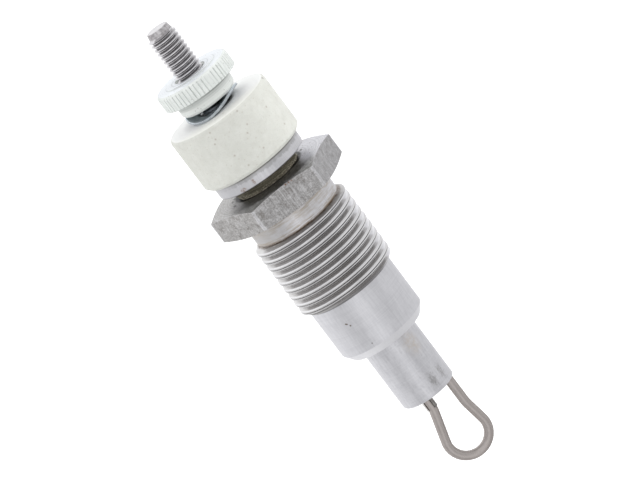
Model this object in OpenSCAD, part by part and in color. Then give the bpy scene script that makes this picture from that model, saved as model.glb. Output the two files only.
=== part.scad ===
// Two-pole wire-loop glow plug for a diesel engine.
// The origin lies on the axis, at the wide end of the sealing cone. +Z points to the terminal.
// Free threads are drawn at their outside diameter, engaged threads at their pitch diameter.

/* [Plug body] */
// Outside diameter of the engine thread
thread_d = 18; // [17:0.1:20]
// Length of the engine thread
thread_len = 14.3; // [10:0.1:20]
// Axial length of the chamfer where the engine thread starts
thread_lead = 0.9; // [0.4:0.1:1.5]
// Axial length of the chamfer where the engine thread runs out below the hexagon
thread_runout = 0.5; // [0.2:0.1:1]
// Diameter of the relief neck below the hexagon
neck_d = 15.9; // [14.5:0.1:16.4]
// Length of the relief neck
neck_len = 3.5; // [2:0.1:6]
// Width of the hexagon across its flats
hex_af = 21; // [19:0.5:24]
// Height of the hexagon
hex_h = 4.7; // [3.5:0.1:8]
// Depth by which the hexagon's corners are turned off
hex_corner_cut = 0.04; // [0.02:0.02:0.4]
// Slope of the turned chamfers on the hexagon
hex_slope = 15; // [10:1:35]
// Turn of the hexagon about the axis
hex_turn = 3; // [-30:0.1:30]
// Diameter of the plain shank below the engine thread
shank_d = 15.75; // [15:0.05:16.4]
// Length of the plain shank
shank_len = 9; // [5:0.1:14]
// Diameter of the small end of the sealing cone
seat_small_d = 13.6; // [13:0.1:14.6]
// Length of the sealing cone
seat_len = 1.5; // [0.8:0.1:3]

/* [Outer pole] */
// Diameter of the pole tube below the body
tube_d = 9.9; // [9.2:0.1:10.4]
// Length by which the pole tube stands out of the body
tube_reach = 12.05; // [8:0.05:16]
// Rounding of the pole tube's lower edge
tube_edge_r = 0.35; // [0.1:0.05:0.35]
// Wall of the pole tube outside the heater wire's hole
tube_rim = 0.4; // [0.36:0.02:0.6]
// Web of the pole tube between the heater wire's hole and the bore
leg_web = 0.24; // [0.16:0.02:0.4]
// Depth of the heater wire's hole in the pole tube
leg_depth = 7; // [4:0.1:10]
// Wall of the pole tube's upper stem
stem_wall = 0.84; // [0.6:0.02:1]
// Width by which the pole tube's flange stands out beside the tube
flange_width = 0.3; // [0.2:0.05:0.5]
// Height of the pole tube's flange
flange_h = 2.5; // [1.5:0.1:4]
// Depth of the body's lower counterbore, from the small end of the sealing cone
counterbore_depth = 8; // [6:0.1:12]

/* [Contact ring] */
// Diameter of the contact ring
ring_d = 16.25; // [14:0.05:18]
// Height of the contact ring
ring_h = 2.3; // [1.5:0.05:4]
// Chamfer on the contact ring's edges
ring_edge = 0.15; // [0.05:0.05:0.4]
// Diameter of the mica washer under the contact ring
mica_d = 11.9; // [11.6:0.1:14]
// Thickness of the mica washer
mica_h = 1.85; // [1:0.05:3]

/* [Insulation] */
// Wall of the sleeve between the pole tube and the body
body_sleeve_wall = 0.69; // [0.4:0.01:0.8]
// Thickness of the seal's floor above the flange
seal_floor = 1; // [0.5:0.1:1.6]
// Wall of the seal's skirt around the flange
seal_wall = 0.6; // [0.4:0.05:0.7]
// Recess of the lower bush inside the body's mouth
bush_recess = 0.5; // [0.2:0.1:1]
// Wall of the mica sleeve on the centre electrode
electrode_sleeve_wall = 0.44; // [0.3:0.02:0.6]
// Wall of the bushes around the electrode's collar
collar_bush_wall = 0.7; // [0.55:0.05:0.9]
// Thickness of the floor below the electrode's collar
collar_bush_floor = 1.2; // [0.8:0.1:2]
// Wall of the upper bush's neck inside the gland nut
bush_neck_wall = 0.5; // [0.3:0.05:0.6]
// Height by which the upper bush's neck stands above the gland nut
bush_neck_rise = 0.2; // [0.1:0.05:0.4]
// Length of the end bush in the pole tube's mouth
end_bush_len = 4.5; // [3:0.1:7]
// Recess of the end bush inside the pole tube's mouth
end_bush_recess = 0.8; // [0.3:0.1:1.5]

/* [Centre electrode] */
// Outside diameter of the terminal thread
stud_d = 5; // [4.5:0.1:5.4]
// Pitch of the terminal thread
stud_pitch = 0.8; // [0.5:0.05:1]
// Length of the stud above the knurled nut
stud_free = 9; // [5:0.1:14]
// Length of the plain tip above the terminal thread
tip_len = 1; // [0.6:0.1:2]
// Diameter of the plain tip where the terminal thread ends
tip_root_d = 4.2; // [4:0.1:4.4]
// Diameter of the stud's end face
tip_d = 3.8; // [2.6:0.1:4]
// Width by which the electrode's collar stands out beside the terminal thread
collar_width = 0.4; // [0.3:0.05:0.6]
// Height of the electrode's collar
collar_h = 2.5; // [1.5:0.1:4]
// Depth of the collar's seat, from the top of the contact ring
gland_depth = 24; // [16:0.1:28]
// Length of the spigot that carries the heater ferrule
spigot_len = 2.5; // [1:0.1:3.5]

/* [Gland nut] */
// Height of the gland nut's flange
gland_flange_h = 1.2; // [0.8:0.1:2]
// Length of the gland nut's threaded spigot
gland_spigot_len = 2.2; // [1.4:0.1:4]
// Width of the gland nut's key slots
gland_slot_w = 1.1; // [0.6:0.1:1.6]
// Depth of the gland nut's key slots
gland_slot_depth = 0.6; // [0.3:0.1:0.7]

/* [Ceramic insulator] */
// Diameter of the ceramic insulator
ceramic_d = 18.6; // [16:0.05:21]
// Height of the ceramic insulator
ceramic_h = 10.2; // [7:0.1:14]
// Rounding of the ceramic's upper edge
ceramic_round = 0.6; // [0.3:0.1:1.6]
// Chamfer on the ceramic's lower edge
ceramic_chamfer = 0.6; // [0.3:0.1:1.1]
// Play between the stud and what is threaded over it
stud_play = 0.25; // [0.1:0.05:0.5]
// Play of the ceramic's counterbore around the gland nut
gland_play = 0.7; // [0.3:0.1:1.5]
// Room in the ceramic's counterbore above the gland nut
gland_room = 1; // [0.5:0.1:2]

/* [Spring washer] */
// Diameter of the curved spring washer
washer_d = 10.3; // [10:0.1:12]
// Thickness of the curved spring washer
washer_t = 0.45; // [0.3:0.05:0.6]
// Gap between the ceramic and the knurled nut that the washer spans
washer_gap = 1.75; // [1.2:0.05:2.4]
// Turn of the washer's bend line about the axis
washer_turn = -30; // [-90:1:90]

/* [Knurled nut] */
// Diameter over the knurl
nut_head_d = 13.6; // [12:0.1:16]
// Height of the knurled head
nut_head_h = 2.85; // [2:0.05:5]
// Chamfer on the head's upper edge
nut_head_edge = 0.35; // [0.1:0.05:0.6]
// Number of ridges in the knurl
ridge_count = 64; // [40:1:72]
// Depth of the knurl's grooves
ridge_depth = 0.16; // [0.08:0.02:0.3]
// Diameter of the raised face on the nut
nut_face_d = 9.3; // [8:0.1:10.4]
// Height of the raised face on the nut
nut_face_h = 0.12; // [0.04:0.02:0.3]
// Diameter of the nut's collar
nut_collar_d = 10.3; // [10:0.1:11.4]
// Height of the nut's collar
nut_collar_h = 2.5; // [1.6:0.05:4]
// Diameter of the collar's bearing face
nut_bearing_d = 9.6; // [8.4:0.1:9.8]
// Height of the taper above the collar's bearing face
nut_taper_h = 0.45; // [0.3:0.05:1]
// Fillet between the collar and the head
nut_fillet_r = 0.3; // [0.2:0.05:0.55]
// Depth of the nut's countersink
nut_sink = 0.6; // [0.2:0.05:1]

/* [Heater loop] */
// Diameter of the heater wire
wire_d = 1.63; // [1.5:0.01:1.7]
// Distance from the pole tube's end to the centre of the loop
loop_drop = 9.9; // [9:0.1:14]
// Bulge of the loop's centre line beyond the inner leg
bulge_left = 1.73; // [1.2:0.01:2]
// Bulge of the loop's centre line beyond the outer leg
bulge_right = 0.71; // [0.5:0.01:1]
// Lean of the wire between the inner leg and the loop
lean_left = 15.5; // [15:0.5:22]
// Lean of the wire between the outer leg and the loop
lean_right = 9.5; // [8:0.5:16]
// Bend radius below the inner leg
bend_left_r = 3; // [2:0.1:4]
// Bend radius below the outer leg
bend_right_r = 8; // [4:0.1:10]
// Wall of the split ferrule on the inner leg
ferrule_wall = 0.16; // [0.12:0.01:0.22]
// Length by which the ferrule stands out of the pole tube
ferrule_drop = 2.8; // [0.5:0.1:2.9]
// Width of the ferrule's slot
ferrule_slot_w = 1.25; // [0.6:0.05:1.3]
// Turn of the ferrule's slot away from the front
ferrule_turn = -12; // [-180:1:180]
// Room between the ferrule and the pole tube's bore
ferrule_room = 0.37; // [0.22:0.01:0.5]

/* [Fits] */
// Radial clearance of pieces that are pressed, screwed or cemented together
fit = 0.03; // [0.01:0.01:0.05]

/* [Hidden] */
$fn = 96;

// Length by which cutters pass the faces that they open
over = 1;

// Stations along the axis
z_mouth = -seat_len;
z_thread = shank_len;
z_neck = z_thread + thread_len;
z_hex = z_neck + neck_len;
z_mica = z_hex + hex_h;
z_ring = z_mica + mica_h;
z_ceramic = z_ring + ring_h;
z_washer = z_ceramic + ceramic_h;
z_nut = z_washer + washer_gap;
z_head = z_nut + nut_collar_h;
z_stud = z_head + nut_head_h + nut_face_h;
z_tip = z_stud + stud_free;
z_tube = z_mouth - tube_reach;
z_step = z_mouth + counterbore_depth;
z_flange_top = z_step - seal_floor;
z_flange = z_flange_top - flange_h;
z_end_bush = z_tube + end_bush_recess;
z_rod = z_end_bush + end_bush_len;
z_seat = z_ceramic - gland_depth;
z_collar = z_seat + collar_bush_floor;
z_split = z_collar + collar_h / 2;
z_collar_top = z_collar + collar_h;
z_gland = z_ceramic - gland_spigot_len;
z_gland_top = z_ceramic + gland_flange_h;

// Radii at the lower end of the pole tube, from the outside in
tube_r = tube_d / 2;
leg_hole_r = wire_d / 2 + fit;
leg_x = tube_r - tube_rim - leg_hole_r;
tube_bore_r = leg_x - leg_hole_r - leg_web;
rod_r = tube_bore_r - electrode_sleeve_wall - 2 * fit;
ferrule_r = wire_d / 2 + fit + ferrule_wall;
inner_x = -(tube_bore_r - ferrule_room - ferrule_r);

// Share of its pitch by which a metric thread's pitch radius is less than its outside radius
pitch_share = 0.3248;

// Radii at the upper end of the pole tube, from the inside out
stud_r = stud_d / 2;
stud_pitch_r = stud_r - pitch_share * stud_pitch;
collar_r = stud_r + collar_width;
stem_bore_r = collar_r + collar_bush_wall + 2 * fit;
stem_r = stem_bore_r + stem_wall;
flange_r = max(stem_r, tube_r) + flange_width;
body_bore_r = stem_r + body_sleeve_wall + 2 * fit;
counterbore_r = flange_r + seal_wall + 2 * fit;
neck_bush_r = stud_r + fit + bush_neck_wall;

// Hexagon
hex_corner_r = hex_af / sqrt(3) - hex_corner_cut;
hex_drop = (hex_corner_r - hex_af / 2) * tan(hex_slope);

// The washer lies on the ceramic along its bend line and bears on the edge of the nut's bearing face
washer_rise = washer_gap - washer_t - fit;
washer_bend_r = (pow(nut_bearing_d / 2, 2) + pow(washer_rise, 2)) / (2 * washer_rise);
z_bend = z_washer + washer_t + washer_bend_r;

// Shares of the knurl's pitch that the floor of a groove and each of its flanks take up
groove_share = 0.16;
flank_share = 0.14;

// The loop is one large arc. On either side a straight stretch leans from it to a bend below the leg
loop_r = (leg_x - inner_x + bulge_left + bulge_right) / 2;
loop_x = (leg_x + inner_x + bulge_right - bulge_left) / 2;
loop_z = z_tube - loop_drop;
corner_left = (bulge_left - loop_r * (1 - cos(lean_left))) / sin(lean_left);
corner_right = (bulge_right - loop_r * (1 - cos(lean_right))) / sin(lean_right);
trim_left = bend_left_r * tan(lean_left / 2);
trim_right = bend_right_r * tan(lean_right / 2);
z_bend_left = loop_z + loop_r * sin(lean_left) + corner_left * cos(lean_left) + trim_left;
z_bend_right = loop_z + loop_r * sin(lean_right) + corner_right * cos(lean_right) + trim_right;

// The bends are a hair thicker than the straight stretches, which reach a little way into them
bend_extra = 0.01;
bend_d = wire_d + bend_extra;
wire_lap = 0.05;

// Upright tube between two heights
module pipe(outer_r, inner_r, low, high) {
    difference() {
        translate([0, 0, low]) cylinder(r = outer_r, h = high - low);
        translate([0, 0, low - over]) cylinder(r = inner_r, h = high - low + 2 * over);
    }
}

// Upright cylinder between two heights
module bar(r, low, high) {
    translate([0, 0, low]) cylinder(r = r, h = high - low);
}

// Corner that a rounding takes off a turned profile, dir is the way to the profile along the axis
module corner_waste(r, z, edge_r, dir) {
    difference() {
        translate([r - edge_r, min(z, z + dir * edge_r)]) square([2 * edge_r, edge_r]);
        translate([r - edge_r, z + dir * edge_r]) circle(r = edge_r);
    }
}

// Piece of bent heater wire around a centre in the plane of the loop
module wire_bend(x, z, r, from, to) {
    translate([x, 0, z]) rotate([90, 0, 0]) rotate([0, 0, from])
        rotate_extrude(angle = to - from) translate([r, 0]) circle(d = bend_d);
}

// Upright piece of heater wire
module wire_leg(x, low, high) {
    translate([x, 0, 0]) bar(wire_d / 2, low, high);
}

// Straight piece of heater wire that leans away from one end of the loop's arc
module wire_stretch(arc_end, lean, length) {
    translate([loop_x + loop_r * cos(arc_end), 0, loop_z + loop_r * sin(arc_end)]) rotate([0, lean, 0])
        bar(wire_d / 2, -wire_lap, length + wire_lap);
}

// Hexagon with both ends turned to a shallow cone
module hexagon() {
    intersection() {
        translate([0, 0, z_hex]) rotate([0, 0, hex_turn]) cylinder(r = hex_af / sqrt(3), h = hex_h, $fn = 6);
        rotate_extrude() polygon([
            [0, z_hex],
            [hex_af / 2, z_hex],
            [hex_corner_r, z_hex + hex_drop],
            [hex_corner_r, z_mica - hex_drop],
            [hex_af / 2, z_mica],
            [0, z_mica]
        ]);
    }
}

// Steel body: hexagon, relief neck, engine thread, shank and sealing cone, turned in one piece
module plug_body() {
    color("silver") difference() {
        union() {
            hexagon();
            rotate_extrude() polygon([
                [0, z_mouth],
                [seat_small_d / 2, z_mouth],
                [shank_d / 2, 0],
                [shank_d / 2, z_thread],
                [thread_d / 2, z_thread + thread_lead],
                [thread_d / 2, z_neck - thread_runout],
                [neck_d / 2, z_neck],
                [neck_d / 2, z_hex],
                [0, z_hex]
            ]);
        }
        bar(counterbore_r, z_mouth - over, z_step);
        bar(body_bore_r, z_step - over, z_mica + over);
    }
}

// Outer pole: a tube with a flange inside the body and a stem that carries the contact ring
module pole_tube() {
    color("gainsboro") difference() {
        rotate_extrude() difference() {
            polygon([
                [0, z_tube],
                [tube_r, z_tube],
                [tube_r, z_flange],
                [flange_r, z_flange],
                [flange_r, z_flange_top],
                [stem_r, z_flange_top],
                [stem_r, z_ceramic],
                [0, z_ceramic]
            ]);
            corner_waste(tube_r, z_tube, tube_edge_r, 1);
        }
        bar(tube_bore_r, z_tube - over, z_seat + over);
        bar(stem_bore_r, z_seat, z_ceramic + over);
        translate([leg_x, 0, 0]) bar(leg_hole_r, z_tube - over, z_tube + leg_depth);
    }
}

// Ring on the pole tube's stem, which carries the second terminal
module contact_ring() {
    color("whitesmoke") rotate_extrude() polygon([
        [stem_r + fit, z_ring],
        [ring_d / 2 - ring_edge, z_ring],
        [ring_d / 2, z_ring + ring_edge],
        [ring_d / 2, z_ceramic - ring_edge],
        [ring_d / 2 - ring_edge, z_ceramic],
        [stem_r + fit, z_ceramic]
    ]);
}

// Laminated washer that insulates the contact ring from the body
module ring_mica_washer() {
    color("darkolivegreen") pipe(mica_d / 2, stem_r + fit, z_mica, z_ring);
}

// Sleeve that insulates the pole tube's stem from the body
module body_sleeve() {
    color("tan") pipe(body_bore_r - fit, stem_r + fit, z_step, z_mica);
}

// Cup-shaped seal between the pole tube's flange and the step in the body
module flange_seal() {
    color("darkkhaki") difference() {
        pipe(counterbore_r - fit, stem_r + fit, z_flange, z_step);
        bar(flange_r + fit, z_flange - over, z_flange_top);
    }
}

// Ceramic bush that closes the body's mouth around the pole tube
module body_lower_bush() {
    color("ivory") pipe(counterbore_r - fit, tube_r + fit, z_mouth + bush_recess, z_flange);
}

// Inner pole: rod, collar and terminal stud, with an off-centre spigot for the heater ferrule
module centre_electrode() {
    color("dimgray") {
        rotate_extrude() polygon([
            [0, z_rod],
            [rod_r, z_rod],
            [rod_r, z_collar],
            [collar_r, z_collar],
            [collar_r, z_collar_top],
            [stud_pitch_r, z_collar_top],
            [stud_pitch_r, z_stud],
            [stud_r, z_stud],
            [stud_r, z_tip - tip_len - (stud_d - tip_root_d) / 2],
            [tip_root_d / 2, z_tip - tip_len],
            [tip_d / 2, z_tip],
            [0, z_tip]
        ]);
        wire_leg(inner_x, z_rod - spigot_len, z_rod);
    }
}

// Wound mica sleeve on the electrode's rod
module electrode_sleeve() {
    color("tan") pipe(tube_bore_r - fit, rod_r + fit, z_rod, z_seat);
}

// Cup that carries the electrode's collar on the step in the pole tube
module electrode_lower_bush() {
    color("ivory") difference() {
        pipe(stem_bore_r - fit, rod_r + fit, z_seat, z_split);
        bar(collar_r + fit, z_collar, z_split + over);
    }
}

// Long bush above the collar, with a neck that passes through the gland nut
module electrode_upper_bush() {
    color("ivory") difference() {
        union() {
            bar(stem_bore_r - fit, z_split, z_gland);
            bar(neck_bush_r, z_gland, z_gland_top + bush_neck_rise);
        }
        bar(collar_r + fit, z_split - over, z_collar_top);
        bar(stud_r + fit, z_collar_top - over, z_gland_top + bush_neck_rise + over);
    }
}

// Slotted nut in the top of the stem, which clamps the bushes and the electrode's collar
module gland_nut() {
    color("darkgray") difference() {
        union() {
            bar(stem_bore_r - fit, z_gland, z_ceramic);
            bar(stem_r, z_ceramic, z_gland_top);
        }
        bar(neck_bush_r + fit, z_gland - over, z_gland_top + over);
        translate([-stem_r - over, -gland_slot_w / 2, z_gland_top - gland_slot_depth])
            cube([2 * (stem_r + over), gland_slot_w, gland_slot_depth + over]);
    }
}

// Insulating bush that guides the ferrule in the mouth of the pole tube
module end_bush() {
    color("ivory") difference() {
        bar(tube_bore_r - fit, z_end_bush, z_rod);
        translate([inner_x, 0, 0]) bar(ferrule_r + fit, z_end_bush - over, z_rod + over);
    }
}

// Split sleeve that joins the inner leg of the loop to the electrode's spigot
module heater_ferrule() {
    z_ferrule = z_tube - ferrule_drop;
    color("gray") translate([inner_x, 0, 0]) difference() {
        pipe(ferrule_r, wire_d / 2 + fit, z_ferrule, z_rod);
        rotate([0, 0, ferrule_turn]) translate([-ferrule_slot_w / 2, -ferrule_r - over, z_ferrule - over])
            cube([ferrule_slot_w, ferrule_r + over, z_rod - z_ferrule + 2 * over]);
    }
}

// Heater wire, bent to an open loop between the two poles
module heater_loop() {
    color("rosybrown") {
        wire_leg(inner_x, z_bend_left - wire_lap, z_rod - spigot_len - fit);
        wire_bend(inner_x - bend_left_r, z_bend_left, bend_left_r, -lean_left, 0);
        wire_stretch(180 - lean_left, lean_left, corner_left - trim_left);
        wire_bend(loop_x, loop_z, loop_r, 180 - lean_left, 360 + lean_right);
        wire_stretch(lean_right, -lean_right, corner_right - trim_right);
        wire_bend(leg_x + bend_right_r, z_bend_right, bend_right_r, 180, 180 + lean_right);
        wire_leg(leg_x, z_bend_right - wire_lap, z_tube + leg_depth - fit);
    }
}

// Ceramic bush that keeps the two terminals apart
module ceramic_insulator() {
    color("honeydew") difference() {
        rotate_extrude() difference() {
            polygon([
                [0, z_ceramic],
                [ceramic_d / 2 - ceramic_chamfer, z_ceramic],
                [ceramic_d / 2, z_ceramic + ceramic_chamfer],
                [ceramic_d / 2, z_washer],
                [0, z_washer]
            ]);
            corner_waste(ceramic_d / 2, z_washer, ceramic_round, -1);
        }
        bar(stem_r + gland_play, z_ceramic - over, z_gland_top + gland_room);
        bar(stud_r + stud_play, z_ceramic - over, z_washer + over);
    }
}

// Curved spring washer, a flat ring bent about one line across its middle
module spring_washer() {
    color("lightsteelblue") rotate([0, 0, washer_turn]) intersection() {
        pipe(washer_d / 2, stud_r + stud_play, z_washer - over, z_bend);
        translate([0, 0, z_bend]) rotate([90, 0, 0]) difference() {
            cylinder(r = washer_bend_r + washer_t, h = washer_d + 2 * over, center = true);
            cylinder(r = washer_bend_r, h = washer_d + 4 * over, center = true);
        }
    }
}

// Outline of the straight knurl
module knurl_outline() {
    crest_r = nut_head_d / 2;
    root_r = crest_r - ridge_depth;
    pitch = 360 / ridge_count;
    polygon([
        for (i = [0 : ridge_count - 1])
            for (corner = [[groove_share, root_r], [groove_share + flank_share, crest_r],
                           [1 - flank_share, crest_r], [1, root_r]])
                corner[1] * [cos((i + corner[0]) * pitch), sin((i + corner[0]) * pitch)]
    ]);
}

// Head of the nut with its knurl, upper chamfer and raised face
module nut_head() {
    z_face = z_stud - nut_face_h;
    head_r = nut_head_d / 2;
    intersection() {
        translate([0, 0, z_head]) linear_extrude(height = nut_head_h) knurl_outline();
        rotate_extrude() polygon([
            [0, z_head],
            [head_r + over, z_head],
            [head_r + over, z_face - nut_head_edge - over],
            [head_r - nut_head_edge, z_face],
            [0, z_face]
        ]);
    }
    bar(nut_face_d / 2, z_face - nut_head_edge, z_stud);
}

// Collar of the nut, with a tapered end and a fillet under the head
module nut_collar() {
    collar_edge_r = nut_collar_d / 2;
    rotate_extrude() {
        polygon([
            [0, z_nut],
            [nut_bearing_d / 2, z_nut],
            [collar_edge_r, z_nut + nut_taper_h],
            [collar_edge_r, z_head],
            [0, z_head]
        ]);
        difference() {
            translate([collar_edge_r, z_head - nut_fillet_r]) square(nut_fillet_r);
            translate([collar_edge_r + nut_fillet_r, z_head - nut_fillet_r]) circle(r = nut_fillet_r);
        }
    }
}

// Knurled terminal nut
module knurled_nut() {
    color("mintcream") difference() {
        union() {
            nut_head();
            nut_collar();
        }
        bar(stud_pitch_r + fit, z_nut - over, z_stud + over);
        translate([0, 0, z_stud - nut_sink])
            cylinder(r1 = stud_pitch_r + fit, r2 = stud_pitch_r + fit + nut_sink, h = nut_sink);
        translate([0, 0, z_stud]) cylinder(r = stud_pitch_r + fit + nut_sink, h = over);
    }
}

plug_body();
pole_tube();
contact_ring();
ring_mica_washer();
body_sleeve();
flange_seal();
body_lower_bush();
centre_electrode();
electrode_sleeve();
electrode_lower_bush();
electrode_upper_bush();
gland_nut();
end_bush();
heater_ferrule();
heater_loop();
ceramic_insulator();
spring_washer();
knurled_nut();
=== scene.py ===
import math

import bmesh
import bpy
import numpy as np
from mathutils import Matrix, Vector


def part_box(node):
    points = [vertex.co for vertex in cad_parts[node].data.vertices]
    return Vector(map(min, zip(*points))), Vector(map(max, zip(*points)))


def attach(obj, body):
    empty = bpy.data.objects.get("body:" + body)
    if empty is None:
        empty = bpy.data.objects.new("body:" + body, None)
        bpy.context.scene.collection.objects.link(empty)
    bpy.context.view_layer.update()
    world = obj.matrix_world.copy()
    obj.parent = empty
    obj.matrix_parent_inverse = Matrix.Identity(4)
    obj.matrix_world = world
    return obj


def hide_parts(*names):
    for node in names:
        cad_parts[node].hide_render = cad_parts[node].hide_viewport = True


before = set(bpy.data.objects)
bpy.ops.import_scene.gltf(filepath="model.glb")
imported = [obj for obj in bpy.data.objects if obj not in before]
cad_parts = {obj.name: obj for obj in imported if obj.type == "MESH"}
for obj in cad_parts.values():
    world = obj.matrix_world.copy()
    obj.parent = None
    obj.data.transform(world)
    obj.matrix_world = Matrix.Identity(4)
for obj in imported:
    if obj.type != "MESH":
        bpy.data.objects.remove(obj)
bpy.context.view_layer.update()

# Sizes are in millimetres, in the row frame, where no comment says otherwise. Times MM they are in metres.
MM = 0.001
rng = np.random.default_rng(7)
scene = bpy.context.scene


def box_mm(node):
    low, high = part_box(node)
    return np.array(low) / MM, np.array(high) / MM


def top_of(node):
    return box_mm(node)[1][2]


def foot_of(node):
    return box_mm(node)[0][2]


def radius_of(node):
    return box_mm(node)[1][0]


# Gap between pieces that seat on each other
seat_gap = 0.03

# Heights and radii that follow the CAD model
z_mouth = foot_of("plug_body")
z_mica = top_of("plug_body")
z_ring = foot_of("contact_ring")
z_ceramic = foot_of("ceramic_insulator")
z_washer = top_of("ceramic_insulator")
z_nut = foot_of("knurled_nut")
z_stud = top_of("knurled_nut")
z_tip = top_of("centre_electrode")
z_tube = foot_of("pole_tube")
z_rod = top_of("end_bush")
z_ferrule = foot_of("heater_ferrule")
z_seat = top_of("electrode_sleeve")
ring_r = radius_of("contact_ring")
mica_r = radius_of("ring_mica_washer")
ceramic_r = radius_of("ceramic_insulator")
tube_bore_r = radius_of("end_bush") + seat_gap
stem_bore_r = radius_of("electrode_lower_bush") + seat_gap

# Body
shank_r = 7.875
cone_small_r = 6.8
neck_r = 7.95
neck_round = 0.35
body_bore_r = 5.25
counterbore_r = 5.91
z_step = 6.5
z_hex = 26.8
hex_af = 21.0
hex_turn = math.radians(3.0)
hex_corner_r = 0.3
hex_flat_edge = 0.3
hex_chamfer = math.radians(15)

# Engine thread, with a shallow seam along its crest
thread_r = 9.0
thread_pitch = 1.5
thread_depth = 0.72
thread_crest = 0.64
thread_low = 9.0
thread_high = 23.3
thread_phase = 0.42
seam_width = 0.2
seam_z = -0.1
seam_depth = 0.24

# Outer pole and the pieces round its stem
tube_r = 4.95
stem_r = 4.5
flange_r = 5.25
z_flange = 3.0
z_flange_top = 5.5
ring_bore_r = stem_r + seat_gap
leaf_count = 11

# Ceramic insulator
ceramic_bore_r = 2.75
ceramic_edge = 0.6
ceramic_hollow_r = stem_r + 0.7
ceramic_hollow_h = 2.2

# Centre electrode and terminal thread
stud_r = 2.5
stud_pitch = 0.8
stud_depth = 0.49
stud_crest = 0.16
stud_phase = 0.31
stud_root_r = stud_r - stud_depth - 0.01
stud_plain_r = 2.24
rod_r = 2.12
collar_r = 2.9
z_collar = z_seat + 1.2
z_collar_top = z_collar + 2.5
z_thread = z_nut - 1.0
tip_r = 1.9
tip_h = 1.0
tip_edge = 0.1
spigot_h = 2.5

# Knurled nut
nut_bore_r = stud_r + seat_gap
nut_foot_r = 4.8
nut_foot_h = 0.45
nut_collar_r = 5.15
nut_head_r = 6.8
nut_top_r = 6.45
nut_face_r = 4.65
nut_mouth_r = 2.95
nut_mouth_h = 0.5
z_head = z_nut + 2.5
z_face = z_stud - 0.12
ridge_count = 60
ridge_uneven = 0.18
groove_shallow = 0.05
groove_deep = 0.19
# Shares of a ridge's width, each with the share of the groove's depth there
ridge_shape = [(0.0, 1.0), (0.1, 1.0), (0.2, 0.12), (0.28, 0.02), (0.58, 0.0), (0.84, 0.02), (0.91, 0.12)]

# Spring washer
washer_t = 0.45
washer_outer_r = 5.15
washer_inner_r = 2.75
washer_turn = math.radians(-30)

# Heater loop and ferrule
wire_r = 0.815
inner_x = -1.245
leg_x = 3.705
leg_depth = 6.97
bulge_left = 1.73
bulge_right = 0.71
bend_left = 3.0
bend_right = 8.0
lean_left = math.radians(15.5)
lean_right = math.radians(9.5)
loop_r = (leg_x - inner_x + bulge_left + bulge_right) / 2
loop_x = (leg_x + inner_x + bulge_right - bulge_left) / 2
loop_z = z_tube - 9.9
ferrule_in_r = wire_r + seat_gap
ferrule_out_r = wire_r + 0.19
ferrule_slot_half = 0.625
ferrule_slot_turn = math.radians(-102)


# Geometry helpers

# Largest part of an edge that one rounding takes, and largest distance of a support point from its arc
edge_share = 0.46
support = 0.08


def support_reach(reach, length):
    """Distance from a corner to the support point beyond its rounding, on an edge of some length."""
    return reach + min(support, 0.4 * (0.5 * length - reach) + 1e-4)


def eased(corners, wrap=True, parts=5):
    """(r, z) points through corners (r, z, rounding).

    Each rounding is an arc with a support point on either side."""
    points = []
    count = len(corners)
    for k, (r, z, size) in enumerate(corners):
        here = np.array((r, z), float)
        if size == 0 or (not wrap and k in (0, count - 1)):
            points.append(here)
            continue
        back = np.array(corners[k - 1][:2], float) - here
        ahead = np.array(corners[(k + 1) % count][:2], float) - here
        long_back, long_ahead = np.linalg.norm(back), np.linalg.norm(ahead)
        back, ahead = back / long_back, ahead / long_ahead
        half = math.acos(float(np.clip(back @ ahead, -1, 1))) / 2
        reach = min(size / math.tan(half), edge_share * long_back, edge_share * long_ahead)
        middle = (back + ahead) / np.linalg.norm(back + ahead)
        centre = here + middle * (reach / math.cos(half))
        start, end = here + back * reach - centre, here + ahead * reach - centre
        turn = math.pi - 2 * half
        points.append(here + back * support_reach(reach, long_back))
        for t in np.linspace(0, 1, parts):
            swing = math.sin((1 - t) * turn) * start + math.sin(t * turn) * end
            points.append(centre + swing / math.sin(turn))
        points.append(here + ahead * support_reach(reach, long_ahead))
    return np.array(points)


def around_axis(r, z, angle):
    """Points at radius r and height z, turned about the axis by an angle."""
    return np.stack([r * np.cos(angle), r * np.sin(angle), z + 0 * angle], -1)


def turned(profile, steps):
    """Rows of points of an (r, z) profile turned about the axis. The last column repeats the first."""
    r, z = np.array(profile).T[:, :, None]
    return around_axis(r, z, np.linspace(0, math.tau, steps + 1))


def thread_wave(top_r, pitch, depth, crest, root_round, crest_rounds, seam=()):
    """One pitch of a thread as (r, z) points about its crest. seam holds corners along the crest."""
    root_r = top_r - depth
    foot = crest / 2 + depth * math.tan(math.radians(30))
    corners = [
        (root_r, -pitch / 2, 0),
        (root_r, -foot, root_round),
        (top_r, -crest / 2, crest_rounds[0]),
        *seam,
        (top_r, crest / 2, crest_rounds[1]),
        (root_r, foot, root_round),
        (root_r, pitch / 2, 0),
    ]
    return eased(corners, wrap=False, parts=4)[:-1]


def helix_rows(wave, pitch, low, high, crest_z, limit, steps):
    """Rows of a right-hand thread between two heights. wave is one pitch as (r, z) points about its crest,
    crest_z a height at which the crest crosses the +X side, limit the largest radius at a height."""
    angle = np.linspace(0, math.tau, steps + 1)
    first = math.floor((low - crest_z) / pitch) - 1
    last = math.ceil((high - crest_z) / pitch) + 1
    station = np.concatenate([wave[:, 1] + crest_z + k * pitch for k in range(first, last)])
    radius = np.tile(wave[:, 0], last - first)
    z = np.clip(station[:, None] + pitch * angle / math.tau, low, high)
    r = np.minimum(radius[:, None], limit(z))
    return around_axis(r, z, angle)


def grid_faces(rows, columns, wrap):
    i = np.arange(rows if wrap else rows - 1)[:, None]
    j = np.arange(columns - 1)[None, :]
    a = i * columns + j
    d = (i + 1) % rows * columns + j
    return np.stack([a, a + 1, d + 1, d], -1).reshape(-1, 4)


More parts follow.
